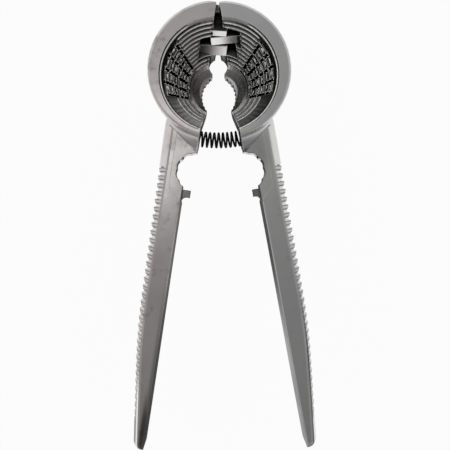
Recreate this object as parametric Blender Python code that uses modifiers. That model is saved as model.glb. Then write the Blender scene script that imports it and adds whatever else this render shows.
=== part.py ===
"""Funnel nutcracker, open, lying with the funnel's mouth up.

Two castings, each half a funnel and one handle, turn about a rivet at the head, and a coil spring pushes
them apart. Each casting is modelled closed, in a frame of its own whose origin is the rivet: `across` runs
from the split plane out to the casting's side, `down` runs from the rivet to the handle's tip, and heights
are counted from the rim, so they are negative. It is then turned open about the rivet.
"""

import math

import bmesh
import bpy
from mathutils import Matrix, Vector

MM = 0.001

# The pose: how far each arm stands open, and where the rivet is in the finished object
HALF_OPENING = math.radians(9.8)
HEAD_DEPTH = 43.0 * MM
RIVET_TO_MIDDLE = 88.0 * MM

# The funnel's outside: a round rim, placed as in the open pose (left arm -1, right arm 1), over a cone
RIM_RADIUS = 28.8 * MM
RIM_THICKNESS = 6.0 * MM
RIM_EDGE = 1.2 * MM
RIM_PLACES = {-1: (1.04 * MM, 22.4 * MM), 1: (1.4 * MM, 22.75 * MM)}
HEAD_TOP = 5.2 * MM
FOOT_RADIUS = 14.8 * MM
FOOT_EDGE = 1.2 * MM

# The cavity, whose circle sits lower than the rim's
MOUTH_RADIUS = 24.15 * MM
MOUTH_DEPTH = 1.3 * MM
LIP_RADIUS = 23.3 * MM
CAVITY_ACROSS = 1.0 * MM
CAVITY_DOWN = 24.8 * MM
FIRST_RING_RADIUS = 22.45 * MM
FIRST_RING_DEPTH = 3.4 * MM
LAST_RING_RADIUS = 12.7 * MM
LAST_RING_DEPTH = 30.7 * MM
RING_STEPS = 10
UPPER_RING_STEPS = 4
RISER_LEAN = 0.1 * MM
LEDGE_FALL = 0.25 * MM
CUT_OVERLAP = 0.03 * MM
BOWL_DEPTH = 38.0 * MM

# The teeth: grooves down the cone that cross the rings, by angle from the hinge
TOOTH_GROOVES = 5
TOOTH_FROM = math.radians(50.0)
TOOTH_TO = math.radians(108.0)
TOOTH_GROOVE_WIDTH = 1.4 * MM
TOOTH_GROOVE_DEPTH = 1.1 * MM

# The hinge: three fingers on the rivet, in a boss at the funnel's back
KNUCKLE_RADIUS = 5.15 * MM
BOSS_ACROSS, BOSS_BACK, BOSS_FRONT = 10.6 * MM, 3.6 * MM, 14.0 * MM
BOSS_DEPTH = 31.0 * MM
LOWER_BOSS_ACROSS = 6.6 * MM
FINGER_CLEARANCE = 0.35 * MM
FINGER_PROUD = 0.1 * MM
FINGER_FACING = math.radians(-4.0)
BLOCK_DOWN = 14.6 * MM
BLOCK_BOTTOM_DEPTH = 25.6 * MM
BLOCK_JOIN = 0.3 * MM
SEAT_MARGIN = 0.8 * MM
KNUCKLE_POCKET = 5.6 * MM
SLIT_HALF_WIDTH = 1.5 * MM
SLIT_DOWN = 8.0 * MM
RIVET_RADIUS = 1.9 * MM
RIVET_CLEARANCE = 0.3 * MM
RIVET_HEAD_RADIUS = 3.1 * MM
RIVET_HEAD_HEIGHT = 1.0 * MM
COUNTERBORE_DEPTH = 1.4 * MM
BORE_CAP = 1.2 * MM

# Each finger: the arm it belongs to, its top and bottom depth, its reach past the split, its root on
# its own side, and the width of the pocket that the other arm has for it
FINGERS = (
    ("left_arm", 8.6 * MM, 12.1 * MM, 4.5 * MM, 1.3 * MM, 8.3 * MM),
    ("right_arm", 12.9 * MM, 17.9 * MM, 4.4 * MM, 8.3 * MM, 6.8 * MM),
    ("left_arm", 18.8 * MM, HEAD_DEPTH, 5.4 * MM, 6.8 * MM, 6.4 * MM),
)

# The keyhole that the two split faces leave in the funnel's floor
KEYHOLE_TOP_DEPTH = 27.0 * MM
HOLE_FROM, HOLE_TO, HOLE_DEPTH = 8.6 * MM, 16.6 * MM, 2.2 * MM
OVAL_FROM, OVAL_TO, OVAL_DEPTH = 18.1 * MM, 34.4 * MM, 3.7 * MM
OVAL_TEETH = 8
OVAL_TOOTH_HEIGHT = 0.5 * MM

# The web under the rim, thicker round the spring's pocket, with the second jaw and the stop below it
FRONT_DEPTH = 4.5 * MM
WEB_BACK_DEPTH = 11.5 * MM
SPRING_BLOCK_BACK_DEPTH = 15.4 * MM
SPRING_BLOCK_END = 55.4 * MM
WEB_INSET = 0.04 * MM
WEB_TOP = 36.0 * MM
WEB_ROOT = 10.2 * MM
JAW_RADIUS, JAW_ACROSS, JAW_DOWN = 8.05 * MM, -0.3 * MM, 65.6 * MM
JAW_SCALLOP = math.radians(34.8)
JAW_SCALLOP_HEIGHT = 0.5 * MM
JAW_END = math.radians(158.8)
STOP_GAPS = {-1: 0.35 * MM, 1: 0.95 * MM}
STOP_FROM, STOP_TO = 73.7 * MM, 76.8 * MM
STOP_CORNER = 2.4 * MM
STOP_FRONT_DEPTH = 7.5 * MM

# The handle, a D in section with its flat side inward
HANDLE_BACK_DEPTH = 21.0 * MM
HANDLE_ROOT = 30.0 * MM
HANDLE_TIP = 185.3 * MM
HANDLE_TIP_ROUND = 2.2 * MM
HANDLE_INNER, HANDLE_TIP_INNER = 3.85 * MM, 3.3 * MM
HANDLE_INNER_AT_WEB = 9.0 * MM
HANDLE_INNER_FROM, HANDLE_INNER_TO = STOP_FROM - 0.7 * MM, STOP_TO + 2.2 * MM
HANDLE_INNER_EDGE = 0.7 * MM
HANDLE_OUTER = 15.95 * MM
HANDLE_SHOULDER = 46.0 * MM
HANDLE_BEND_LENGTH, HANDLE_BEND_TO_TIP = 30.0 * MM, 35.3 * MM
HANDLE_SLOPE, HANDLE_END_SLOPE = 0.0145, 0.13
HANDLE_CORNER = 1.5 * MM
HANDLE_BULGE, HANDLE_END_BULGE = 3.1 * MM, 1.6 * MM
RIBS = 32
RIB_FROM, LAST_RIB_TO_TIP = 65.8 * MM, 14.35 * MM
RIB_HEIGHT = 0.95 * MM
RIB_WIDTH, RIB_FLANK_WIDTH = 1.6 * MM, 0.35 * MM

# The return spring
SPRING_DOWN = 50.9 * MM
SPRING_DEPTH = 10.5 * MM
SPRING_RADIUS = 3.05 * MM
SPRING_WIRE = 0.8 * MM
SPRING_TURNS = 14.5
SPRING_START = math.pi
SPRING_POINTS_PER_TURN = 9
POCKET_RADIUS = 3.8 * MM
POCKET_LENGTH = 6.5 * MM
SEAT_GAP = 0.3 * MM

ROUND_STEPS = 56
SIDES = {"left_arm": -1, "right_arm": 1}


def arm_place(across, down):
    """A place in the open pose, as (across, down) in the arm's own closed frame."""
    cos, sin = math.cos(HALF_OPENING), math.sin(HALF_OPENING)
    return across * cos - down * sin, down * cos + across * sin


def clear_scene():
    for obj in list(bpy.data.objects):
        bpy.data.objects.remove(obj, do_unlink=True)


def new_collection(name):
    collection = bpy.data.collections.new(name)
    bpy.context.scene.collection.children.link(collection)
    return collection


def new_material(name, colour, roughness, metallic):
    material = bpy.data.materials.new(name)
    material.use_nodes = True
    shader = material.node_tree.nodes["Principled BSDF"]
    shader.inputs["Base Color"].default_value = (*colour, 1.0)
    shader.inputs["Roughness"].default_value = roughness
    shader.inputs["Metallic"].default_value = metallic
    return material


def add_object(name, mesh, collection):
    obj = bpy.data.objects.new(name, mesh)
    collection.objects.link(obj)
    return obj


def bake(obj):
    """Replaces the object's mesh by what its modifiers or its curve make of it, welded, facing out."""
    bpy.context.view_layer.update()
    graph = bpy.context.evaluated_depsgraph_get()
    mesh = bpy.data.meshes.new_from_object(obj.evaluated_get(graph))
    mesh.name = obj.name
    cleaned = bmesh.new()
    cleaned.from_mesh(mesh)
    bmesh.ops.remove_doubles(cleaned, verts=cleaned.verts, dist=0.001 * MM)
    bmesh.ops.recalc_face_normals(cleaned, faces=cleaned.faces)
    cleaned.to_mesh(mesh)
    cleaned.free()
    name, place, collection = obj.name, obj.matrix_world.copy(), obj.users_collection[0]
    bpy.data.objects.remove(obj, do_unlink=True)
    baked = add_object(name, mesh, collection)
    baked.matrix_world = place
    return baked


def as_cutter(obj):
    obj.hide_render = True
    obj.display_type = "WIRE"
    return obj


def combine(target, tool, operation):
    modifier = target.modifiers.new(f"{operation.lower()} {tool.name}", "BOOLEAN")
    modifier.operation = operation
    modifier.solver = "EXACT"
    modifier.object = as_cutter(tool)


def turned(name, profile, centre, collection, closed=False):
    """Revolves (radius, height) points, outer side first and downward, about an upright axis."""
    mesh = bpy.data.meshes.new(name)
    points = [(radius, 0.0, height) for radius, height in profile]
    edges = [(i, i + 1) for i in range(len(points) - 1)]
    if closed:
        edges.append((len(points) - 1, 0))
    mesh.from_pydata(points, edges, [])
    obj = add_object(name, mesh, collection)
    obj.location = (centre[0], -centre[1], 0.0)
    screw = obj.modifiers.new("turn", "SCREW")
    screw.axis = "Z"
    screw.angle = 2 * math.pi
    screw.steps = ROUND_STEPS
    screw.render_steps = ROUND_STEPS
    screw.use_merge_vertices = True
    screw.merge_threshold = 0.01 * MM
    return bake(obj)


def prism(name, outline, top_depth, bottom_depth, collection):
    """An upright prism over an outline of (x, down) points, between two depths below the rim."""
    curve = bpy.data.curves.new(name, "CURVE")
    curve.dimensions = "2D"
    curve.fill_mode = "BOTH"
    curve.extrude = (bottom_depth - top_depth) / 2
    spline = curve.splines.new("POLY")
    spline.points.add(len(outline) - 1)
    for point, (x, down) in zip(spline.points, outline):
        point.co = (x, -down, 0.0, 1.0)
    spline.use_cyclic_u = True
    obj = add_object(name, curve, collection)
    obj.location.z = -(top_depth + bottom_depth) / 2
    return bake(obj)


def box_outline(side, across_from, across_to, down_from, down_to):
    return [
        (side * across_from, down_from),
        (side * across_to, down_from),
        (side * across_to, down_to),
        (side * across_from, down_to),
    ]


def arc_through(first, last, depth):
    """The circle that bulges outward by depth between two places on the split plane, and its half angle."""
    half_chord = (last - first) / 2
    radius = (half_chord**2 + depth**2) / (2 * depth)
    return radius, depth - radius, (first + last) / 2, math.asin(half_chord / radius)


def scalloped_arc(side, circle, first, last, scallop, height, points_per_scallop=4):
    """An arc whose edge is a row of small hollows between cusps, counted back from its last angle.

    The angles are counted from straight up the split plane towards the arm's outer side.
    """
    radius, across, down = circle
    steps = round((last - first) / scallop * points_per_scallop)
    outline = []
    for i in range(steps + 1):
        angle = last - i * scallop / points_per_scallop
        hollow = height * (math.sin(math.pi * (i % points_per_scallop) / points_per_scallop) - 1)
        reach = radius + hollow
        outline.append((side * (across + reach * math.sin(angle)), down - reach * math.cos(angle)))
    return outline[::-1]


def plain_arc(side, first, last, depth, count=8):
    radius, across, down, half_angle = arc_through(first, last, depth)
    outline = []
    for i in range(count + 1):
        angle = math.pi / 2 + half_angle * (2 * i / count - 1)
        outline.append((side * (across + radius * math.sin(angle)), down - radius * math.cos(angle)))
    return outline


def toothed_arc(side, first, last, depth, teeth, height):
    radius, across, down, half_angle = arc_through(first, last, depth)
    start, end = math.pi / 2 - half_angle, math.pi / 2 + half_angle
    return scalloped_arc(side, (radius, across, down), start, end, (end - start) / teeth, height)


def pocket_outline(side, arc):
    """Closes an arc through the open side of the split plane."""
    outside = -side * 4 * MM
    return [(outside, arc[0][1]), *arc, (outside, arc[-1][1])]


def ring_crest(step):
    """Radius and depth of a ring's crest, counted from the mouth's ring 0 to RING_STEPS."""
    share = step / RING_STEPS
    radius = FIRST_RING_RADIUS + (LAST_RING_RADIUS - FIRST_RING_RADIUS) * share
    depth = FIRST_RING_DEPTH + (LAST_RING_DEPTH - FIRST_RING_DEPTH) * share
    return radius, depth


def head_shape(side, collection):
    """The funnel's outside, solid: the rim, the cone under it and the foot it stands on."""
    across, down = arm_place(*RIM_PLACES[side])
    profile = [
        (0.0, 0.0),
        (RIM_RADIUS - RIM_EDGE, 0.0),
        (RIM_RADIUS - 0.3 * RIM_EDGE, -0.3 * RIM_EDGE),
        (RIM_RADIUS, -RIM_EDGE),
        (RIM_RADIUS, -RIM_THICKNESS),
        (FOOT_RADIUS, -(HEAD_DEPTH - FOOT_EDGE)),
        (FOOT_RADIUS - FOOT_EDGE, -HEAD_DEPTH),
        (0.0, -HEAD_DEPTH),
    ]
    return turned("head", profile, (side * across, down), collection)


def ring_steps(first, last, grown=0.0):
    """Profile points of the steps between two crests: an upright riser, then a ledge to the next crest."""
    points = []
    for step in range(first, last):
        radius, _ = ring_crest(step)
        next_radius, next_depth = ring_crest(step + 1)
        points.append((radius + grown - RISER_LEAN, -(next_depth - LEDGE_FALL)))
        points.append((next_radius + grown, -next_depth))
    return points


def cavity_shape(side, collection):
    """The inside of the funnel: mouth step, lip, smooth cone, the rings that go all round, and the bowl."""
    across, down = arm_place(CAVITY_ACROSS, CAVITY_DOWN)
    first_radius, first_depth = ring_crest(UPPER_RING_STEPS)
    last_radius, last_depth = ring_crest(RING_STEPS)
    bowl_height = BOWL_DEPTH - last_depth
    profile = [
        (0.0, 2 * MM),
        (MOUTH_RADIUS, 2 * MM),
        (MOUTH_RADIUS, -MOUTH_DEPTH),
        (LIP_RADIUS, -MOUTH_DEPTH - 0.3 * MM),
        (FIRST_RING_RADIUS, -FIRST_RING_DEPTH),
        (first_radius, -first_depth),
        *ring_steps(UPPER_RING_STEPS, RING_STEPS),
        (last_radius - 0.3 * MM, -last_depth - 0.3 * bowl_height),
        (last_radius * 0.86, -last_depth - 0.62 * bowl_height),
        (last_radius * 0.62, -last_depth - 0.86 * bowl_height),
        (0.0, -BOWL_DEPTH),
    ]
    return turned("cavity", profile, (side * across, down), collection)


def upper_rings(side, collection):
    """Cuts the outer rings, which run only beside the hinge and the teeth."""
    across, down = arm_place(CAVITY_ACROSS, CAVITY_DOWN)
    radius, depth = ring_crest(0)
    inner_radius, inner_depth = ring_crest(UPPER_RING_STEPS)
    profile = [(0.0, -depth + 0.5 * MM), (radius - RISER_LEAN, -depth + 0.5 * MM)]
    profile += ring_steps(0, UPPER_RING_STEPS, CUT_OVERLAP)[:-1]
    profile += [(inner_radius - 0.4 * MM, -inner_depth - 0.1 * MM), (0.0, -inner_depth - 0.1 * MM)]
    rings = turned("upper_rings", profile, (side * across, down), collection)
    combine(rings, sector(side, math.radians(-30.0), TOOTH_TO, collection), "INTERSECT")
    return bake(rings)


def sector(side, first, last, collection):
    """A slice of the cavity between two angles from the hinge, counted in the open pose."""
    across, down = arm_place(CAVITY_ACROSS, CAVITY_DOWN)
    reach = MOUTH_RADIUS * 1.4
    outline = [(side * across, down)]
    slices = 10
    for i in range(slices + 1):
        angle = first + (last - first) * i / slices + HALF_OPENING
        outline.append((side * (across + reach * math.sin(angle)), down - reach * math.cos(angle)))
    return prism("upper_sector", outline, 0.0, HEAD_DEPTH, collection)


def slope_box(name, side, angle, thickness, width, sink, collection):
    """A box along the cone's slope at one angle from the hinge, its middle sunk below the crests."""
    first_radius, first_depth = ring_crest(0)
    last_radius, last_depth = ring_crest(RING_STEPS)
    slope = math.atan2(first_radius - last_radius, last_depth - first_depth)
    length = math.hypot(first_radius - last_radius, last_depth - first_depth) - 1.2 * MM
    across, down = arm_place(CAVITY_ACROSS, CAVITY_DOWN)
    shape = bmesh.new()
    bmesh.ops.create_cube(shape, size=1.0)
    bmesh.ops.scale(shape, verts=shape.verts, vec=(thickness, width, length))
    middle = Vector(((first_radius + last_radius) / 2, 0.0, -(first_depth + last_depth) / 2))
    outward = Vector((math.cos(slope), 0.0, -math.sin(slope)))
    tilt = Matrix.Rotation(slope, 4, "Y")
    bmesh.ops.transform(shape, verts=shape.verts, matrix=tilt)
    bmesh.ops.translate(shape, verts=shape.verts, vec=middle + outward * sink)
    turn = math.pi / 2 - (angle + HALF_OPENING)
    direction = turn if side > 0 else math.pi - turn
    bmesh.ops.rotate(shape, verts=shape.verts, cent=(0, 0, 0), matrix=Matrix.Rotation(direction, 3, "Z"))
    bmesh.ops.translate(shape, verts=shape.verts, vec=(side * across, -down, 0.0))
    mesh = bpy.data.meshes.new(name)
    shape.to_mesh(mesh)
    shape.free()
    return add_object(name, mesh, collection)


def tooth_groove(side, angle, collection):
    thickness = 3 * TOOTH_GROOVE_DEPTH
    ring_relief = (FIRST_RING_RADIUS - LAST_RING_RADIUS) / RING_STEPS
    sink = ring_relief + TOOTH_GROOVE_DEPTH - thickness / 2
    return slope_box("tooth_groove", side, angle, thickness, TOOTH_GROOVE_WIDTH, sink, collection)


def cylinder(name, radius, segments, first, last, collection):
    """A closed cylinder between two places, either upright or level."""
    way = last - first
    shape = bmesh.new()
    bmesh.ops.create_cone(
        shape, cap_ends=True, segments=segments, radius1=radius, radius2=radius, depth=way.length
    )
    turn = Vector((0, 0, 1)).rotation_difference(way).to_matrix()
    bmesh.ops.rotate(shape, verts=shape.verts, cent=(0, 0, 0), matrix=turn)
    bmesh.ops.translate(shape, verts=shape.verts, vec=(first + last) / 2)
    mesh = bpy.data.meshes.new(name)
    shape.to_mesh(mesh)
    shape.free()
    return add_object(name, mesh, collection)


def upright_cylinder(name, radius, segments, top_depth, bottom_depth, collection):
    first = Vector((0, 0, -top_depth))
    last = Vector((0, 0, -bottom_depth))
    return cylinder(name, radius, segments, first, last, collection)


def finger_shape(side, finger, collection):
    """One hinge finger: a round knuckle on the rivet and a block, with a flat front along the slope."""
    _, top, bottom, reach, root, _ = finger
    knuckle = upright_cylinder("finger", KNUCKLE_RADIUS, 32, top, bottom, collection)
    outline = box_outline(side, -reach, root + BLOCK_JOIN, -BLOCK_JOIN, BLOCK_DOWN)
    block_bottom = min(bottom - WEB_INSET, BLOCK_BOTTOM_DEPTH)
    block = prism("finger_block", outline, top + WEB_INSET, block_bottom, collection)
    combine(knuckle, block, "UNION")
    thickness = 30 * MM
    sink = -thickness / 2 - FINGER_PROUD
    front = slope_box("front", side, FINGER_FACING, thickness, 44 * MM, sink, collection)
    combine(knuckle, front, "DIFFERENCE")
    return bake(knuckle)


def finger_seat(side, finger, collection):
    """Clears the arm's own slope round its finger, as far as the pockets above and below it."""
    _, top, bottom, _, root, _ = finger
    outline = box_outline(side, -9 * MM, root, 0.0, BLOCK_DOWN + 4 * MM)
    floor = bottom + SEAT_MARGIN
    if bottom == HEAD_DEPTH:
        floor = BLOCK_BOTTOM_DEPTH - BLOCK_JOIN
    return prism("finger_seat", outline, top - SEAT_MARGIN, floor, collection)


def finger_pocket(side, finger, collection):
    """The room in one arm for the other arm's finger."""
    _, top, bottom, _, _, width = finger
    outline = [
        (-side * 9 * MM, -HEAD_TOP - 4 * MM),
        (side * KNUCKLE_POCKET, -HEAD_TOP - 4 * MM),
        (side * KNUCKLE_POCKET, 0.0),
        (side * width, 0.0),
        (side * width, BLOCK_DOWN),
        (-side * 9 * MM, BLOCK_DOWN),
    ]
    floor = min(bottom, BLOCK_BOTTOM_DEPTH) + FINGER_CLEARANCE
    return prism("finger_pocket", outline, top - FINGER_CLEARANCE, floor, collection)


def knuckle_pocket(side, collection):
    """The room beside the long knuckle, from below its block down through the foot."""
    outline = [(-side * 9 * MM, -HEAD_TOP - 4 * MM), (side * KNUCKLE_POCKET, -HEAD_TOP - 4 * MM)]
    for i in range(9):
        angle = math.pi / 2 * i / 8
        outline.append((side * KNUCKLE_POCKET * math.cos(angle), KNUCKLE_POCKET * math.sin(angle)))
    outline.append((-side * 9 * MM, KNUCKLE_POCKET))
    return prism("knuckle_pocket", outline, BLOCK_BOTTOM_DEPTH, HEAD_DEPTH + 2 * MM, collection)


def smoothstep(value, first, last):
    share = min(max((value - first) / (last - first), 0.0), 1.0)
    return share * share * (3 - 2 * share)


def handle_outer(down):
    """How far the handle's outer side lies from the split plane, before the ribs' relief."""
    if down < HANDLE_SHOULDER:
        return HANDLE_OUTER - (HANDLE_SHOULDER - down) ** 2 * 0.026 / MM
    outer = HANDLE_OUTER - HANDLE_SLOPE * (down - HANDLE_SHOULDER)
    past_bend = down - (HANDLE_TIP - HANDLE_BEND_TO_TIP)
    into_bend = min(max(past_bend + HANDLE_BEND_LENGTH, 0.0), HANDLE_BEND_LENGTH)
    extra_slope = HANDLE_END_SLOPE - HANDLE_SLOPE
    return outer - extra_slope * (into_bend**2 / (2 * HANDLE_BEND_LENGTH) + max(past_bend, 0.0))


def handle_inner(down):
    to_tip = smoothstep(down, HANDLE_INNER_TO, HANDLE_TIP)
    flat = HANDLE_INNER + (HANDLE_TIP_INNER - HANDLE_INNER) * to_tip
    past_web = smoothstep(down, HANDLE_INNER_FROM, HANDLE_INNER_TO)
    return HANDLE_INNER_AT_WEB + (flat - HANDLE_INNER_AT_WEB) * past_web


def tip_rounding(down):
    into = max(down - (HANDLE_TIP - HANDLE_TIP_ROUND), 0.0)
    return HANDLE_TIP_ROUND - math.sqrt(max(HANDLE_TIP_ROUND**2 - into**2, 0.0))


def handle_section(down, relief):
    """The D of the handle at one place, as (across, height) points from its inner front edge round."""
    rounding = tip_rounding(down)
    outer = handle_outer(down) - rounding
    inner = min(handle_inner(down), outer - 3.2 * MM)
    share = smoothstep(down, HANDLE_SHOULDER, HANDLE_TIP)
    bulge = HANDLE_BULGE + (HANDLE_END_BULGE - HANDLE_BULGE) * share
    front = -FRONT_DEPTH - 0.4 * rounding
    back = -HANDLE_BACK_DEPTH + 0.4 * rounding
    edge = outer - bulge
    corner = min(HANDLE_CORNER, (edge - inner) * 0.6)
    drop = 0.4 * corner
    middle, half = (front + back) / 2, (front - back) / 2 - drop
    points = [(inner, front - HANDLE_INNER_EDGE), (inner, back)]
    points += [(edge - corner, back), (edge - 0.45 * corner, back + 0.1 * corner)]
    for i in range(5):
        place = i / 2 - 1
        across = edge + bulge * (1 - place**2) - relief * (1 - place**4)
        points.append((across, middle + place * half))
    points += [(edge - 0.45 * corner, front - 0.1 * corner), (edge - corner, front)]
    points.append((inner + HANDLE_INNER_EDGE, front))
    points.append((inner + 0.25 * HANDLE_INNER_EDGE, front - 0.25 * HANDLE_INNER_EDGE))
    return points


def handle_stations():
    """Places along the handle and the ribs' relief there.

    A rib's top falls away from the hinge, and a gap follows it.
    """
    last_rib = HANDLE_TIP - LAST_RIB_TO_TIP
    pitch = (last_rib - RIB_FROM) / (RIBS - 1)
    to_shoulder = HANDLE_SHOULDER - HANDLE_ROOT
    stations = [(HANDLE_ROOT + share * to_shoulder, 0.0) for share in (0.0, 0.375, 0.6875, 1.0)]
    stations.append((HANDLE_SHOULDER + 10 * MM, 0.0))
    stations.append((RIB_FROM - 3 * RIB_FLANK_WIDTH, 0.0))
    for i in range(RIBS):
        place = RIB_FROM + i * pitch
        stations.append((place - RIB_FLANK_WIDTH, RIB_HEIGHT))
        stations.append((place, 0.0))
        stations.append((place + RIB_WIDTH, 0.4 * RIB_HEIGHT))
        stations.append((place + RIB_WIDTH + RIB_FLANK_WIDTH, RIB_HEIGHT))
    stations.append((last_rib + pitch - RIB_FLANK_WIDTH, 0.0))
    for share in (0.0, 0.5, 0.8, 0.97):
        stations.append((HANDLE_TIP - HANDLE_TIP_ROUND * (1 - share), 0.0))
    return stations


def handle_shape(side, collection):
    """A loft along the arm, since its section changes all the way."""
    loft = bmesh.new()
    rings = []
    for down, relief in handle_stations():
        section = handle_section(down, relief)
        rings.append([loft.verts.new((side * across, -down, height)) for across, height in section])
    for ring, following in zip(rings, rings[1:]):
        for i in range(len(ring)):
            j = (i + 1) % len(ring)
            loft.faces.new((ring[i], ring[j], following[j], following[i]))
    loft.faces.new(rings[0])
    loft.faces.new(rings[-1])
    bmesh.ops.recalc_face_normals(loft, faces=loft.faces)
    mesh = bpy.data.meshes.new("handle")
    loft.to_mesh(mesh)
    loft.free()
    return add_object("handle", mesh, collection)


def hinge_boss(side, collection):
    """The block behind the fingers, rounded off at its back corner."""
    outline = [
        (-side * 1 * MM, -BOSS_BACK),
        (side * (BOSS_ACROSS - 4.6 * MM), -BOSS_BACK),
        (side * (BOSS_ACROSS - 1.4 * MM), -BOSS_BACK + 1.6 * MM),
        (side * BOSS_ACROSS, -BOSS_BACK + 5.0 * MM),
        (side * BOSS_ACROSS, BOSS_FRONT),
        (-side * 1 * MM, BOSS_FRONT),
    ]
    return prism("boss", outline, RIM_EDGE + 1 * MM, BOSS_DEPTH, collection)


def lower_boss(side, collection):
    """The narrower block beside the long knuckle, down to the foot."""
    outline = box_outline(side, -1 * MM, LOWER_BOSS_ACROSS, 0.5 * MM, BOSS_FRONT + 1 * MM)
    return prism("lower_boss", outline, BOSS_DEPTH - 1 * MM, HEAD_DEPTH - 2 * WEB_INSET, collection)


def web_shape(side, collection):
    """The plate beside the split plane, from inside the rim down to where the handle takes over."""
    outline = [
        (-side * 1 * MM, WEB_TOP),
        (side * WEB_ROOT, WEB_TOP),
        (side * WEB_ROOT, STOP_TO + STOP_CORNER + 1 * MM),
        (side * (HANDLE_INNER + 1 * MM), STOP_TO + STOP_CORNER + 1 * MM),
        (side * (HANDLE_INNER - WEB_INSET), STOP_TO + STOP_CORNER),
        (side * (HANDLE_INNER - WEB_INSET), STOP_FROM - 3 * MM),
        (-side * 1 * MM, STOP_FROM - 3 * MM),
    ]
    return prism("web", outline, FRONT_DEPTH + WEB_INSET, WEB_BACK_DEPTH, collection)


def spring_block(side, collection):
    """The thicker part of the web, which holds the spring's pocket."""
    outline = box_outline(side, -1 * MM, WEB_ROOT + 1 * MM, WEB_TOP - 2 * MM, SPRING_BLOCK_END)
    return prism("spring_block", outline, FRONT_DEPTH + 1 * MM, SPRING_BLOCK_BACK_DEPTH, collection)


def stop_shape(side, collection):
    """The small tab, set back from the web's front, that meets its fellow when the arms are closed."""
    gap = STOP_GAPS[side]
    outline = [(side * (HANDLE_INNER + 2 * MM), STOP_FROM), (side * gap, STOP_FROM), (side * gap, STOP_TO)]
    corner_across = HANDLE_INNER - STOP_CORNER + WEB_INSET
    for i in range(5):
        angle = math.pi / 2 * i / 4
        across = corner_across + STOP_CORNER * math.sin(angle)
        outline.append((side * across, STOP_TO + STOP_CORNER * (1 - math.cos(angle))))
    outline.append((side * (HANDLE_INNER + 2 * MM), STOP_TO + STOP_CORNER))
    return prism("stop", outline, STOP_FRONT_DEPTH, WEB_BACK_DEPTH - WEB_INSET, collection)


def spring_pocket(collection):
    half = Vector((POCKET_LENGTH, 0, 0))
    middle = Vector((0, -SPRING_DOWN, -SPRING_DEPTH))
    return cylinder("spring_pocket", POCKET_RADIUS, 24, middle - half, middle + half, collection)


def rivet_bore(collection):
    radius = RIVET_RADIUS + RIVET_CLEARANCE
    top = FINGERS[0][1] + BORE_CAP
    return upright_cylinder("bore", radius, 24, top, HEAD_DEPTH + 9 * MM, collection)


def counterbore(collection):
    radius = RIVET_HEAD_RADIUS + RIVET_CLEARANCE
    top = HEAD_DEPTH - COUNTERBORE_DEPTH
    return upright_cylinder("counterbore", radius, 32, top, HEAD_DEPTH + 9 * MM, collection)


def arm(name, material, parts, cutters):
    """One casting: joined from its shapes, cut, given its fingers and its stop, then turned open."""
    side = SIDES[name]
    body = handle_shape(side, parts)
    body.name = name
    for shape in (head_shape, hinge_boss, lower_boss, web_shape, spring_block):
        combine(body, shape(side, cutters), "UNION")
    combine(body, cavity_shape(side, cutters), "DIFFERENCE")
    body = bake(body)

    combine(body, upper_rings(side, cutters), "DIFFERENCE")
    for i in range(TOOTH_GROOVES):
        angle = TOOTH_FROM + (TOOTH_TO - TOOTH_FROM) * i / (TOOTH_GROOVES - 1)
        combine(body, tooth_groove(side, angle, cutters), "DIFFERENCE")
    body = bake(body)

    far = 2 * HANDLE_TIP
    above, below = -9 * MM, HEAD_DEPTH + 9 * MM
    split = prism("split", box_outline(side, -far, 0.0, -far, far), above, below, cutters)
    combine(body, split, "DIFFERENCE")
    head_top = prism("head_top", box_outline(side, -far, far, -far, -HEAD_TOP), above, below, cutters)
    combine(body, head_top, "DIFFERENCE")
    slit_depth = FINGERS[0][1] - FINGER_CLEARANCE
    slit_outline = box_outline(side, -9 * MM, SLIT_HALF_WIDTH, -20 * MM, SLIT_DOWN)
    slit = prism("slit", slit_outline, above, slit_depth, cutters)
    combine(body, slit, "DIFFERENCE")
    relief_outline = box_outline(side, -9 * MM, SLIT_HALF_WIDTH, -20 * MM, 0.3 * MM)
    relief = prism("relief", relief_outline, slit_depth - 1 * MM, below, cutters)
    combine(body, relief, "DIFFERENCE")
    for finger in FINGERS:
        room = finger_seat if finger[0] == name else finger_pocket
        combine(body, room(side, finger, cutters), "DIFFERENCE")
    if name == "right_arm":
        combine(body, knuckle_pocket(side, cutters), "DIFFERENCE")
    body = bake(body)

    hole_arc = plain_arc(side, HOLE_FROM, HOLE_TO, HOLE_DEPTH)
    oval_arc = toothed_arc(side, OVAL_FROM, OVAL_TO, OVAL_DEPTH, OVAL_TEETH, OVAL_TOOTH_HEIGHT)
    jaw_circle = (JAW_RADIUS, JAW_ACROSS, JAW_DOWN)
    jaw_arc = scalloped_arc(side, jaw_circle, 0.0, JAW_END, JAW_SCALLOP, JAW_SCALLOP_HEIGHT)
    openings = (
        ("hole", hole_arc, KEYHOLE_TOP_DEPTH),
        ("oval", oval_arc, KEYHOLE_TOP_DEPTH),
        ("jaw", jaw_arc, 0.0),
    )
    for label, arc, top_depth in openings:
        cutter = prism(label, pocket_outline(side, arc), top_depth, below, cutters)
        combine(body, cutter, "DIFFERENCE")
    combine(body, spring_pocket(cutters), "DIFFERENCE")
    body = bake(body)

    for finger in FINGERS:
        if finger[0] == name:
            combine(body, finger_shape(side, finger, cutters), "UNION")
    combine(body, stop_shape(side, cutters), "UNION")
    body = bake(body)
    combine(body, rivet_bore(cutters), "DIFFERENCE")
    if name == "left_arm":
        combine(body, counterbore(cutters), "DIFFERENCE")
    body = bake(body)
    return finish(body, material, side * HALF_OPENING)


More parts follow.
